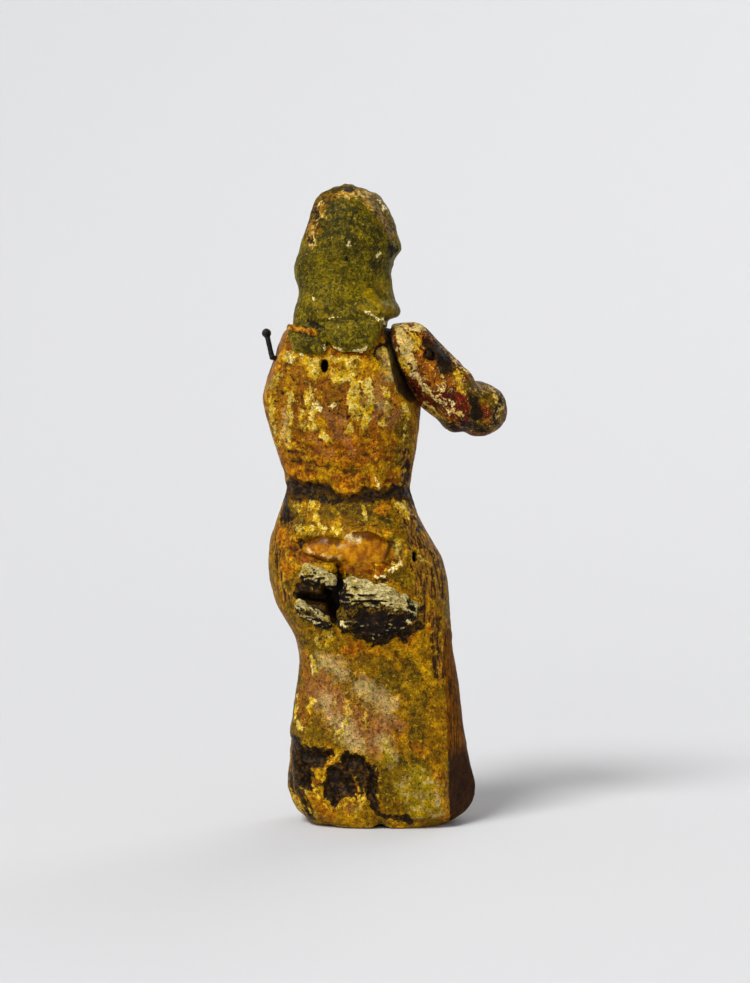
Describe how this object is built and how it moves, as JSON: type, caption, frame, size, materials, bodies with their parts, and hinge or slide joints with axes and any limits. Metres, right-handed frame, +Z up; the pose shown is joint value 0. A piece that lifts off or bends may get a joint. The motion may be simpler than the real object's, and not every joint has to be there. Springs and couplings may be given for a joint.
{
  "type": "jointed carved figure",
  "caption": "Standing carved and painted wooden figure with long hair, tunic, sash and skirt; one arm swings on a shoulder pin, the other is lost.",
  "frame": {"origin": "middle of the flat underside that the figure stands on", "axes": "+Z up along the standing figure, -Y towards the figure's front, +X towards the figure's own left"},
  "size_m": [0.0592, 0.0393, 0.153],
  "materials": {
    "painted_wood": "worn ochre, orange, pink and cream paint over gesso, in places bare wood",
    "painted_hair": "speckled olive green paint, slightly glossy",
    "painted_sleeve": "worn crimson, orange and cream paint over gesso",
    "painted_skin": "aged flesh-coloured paint over gesso",
    "bare_wood": "plain whittled wood",
    "iron": "black, slightly rusted",
    "gessoed_cloth": "fibrous cloth stiff with gesso, black-brown underneath",
    "amber_resin": "smooth glossy amber glue"
  },
  "bodies": {
    "figure": {"body": "painted_wood", "head": "painted_hair", "neck_dowel": "bare_wood", "right_shoulder_pin": "iron", "left_shoulder_pin": "iron", "sash_loop_right": "gessoed_cloth", "sash_loop_left": "gessoed_cloth", "sash_tail": "gessoed_cloth", "resin_patch": "amber_resin"},
    "arm": {"right_arm": "painted_sleeve", "right_hand": "painted_skin"}
  },
  "joints": [
    {"name": "right_shoulder_swing", "type": "hinge", "parent": "figure", "child": "arm", "pos_m": [-0.0043, 0.0033, 0.1091], "axis": [-0.9025, 0.334, 0.272], "range_deg": [-60, 80]}
  ]
}
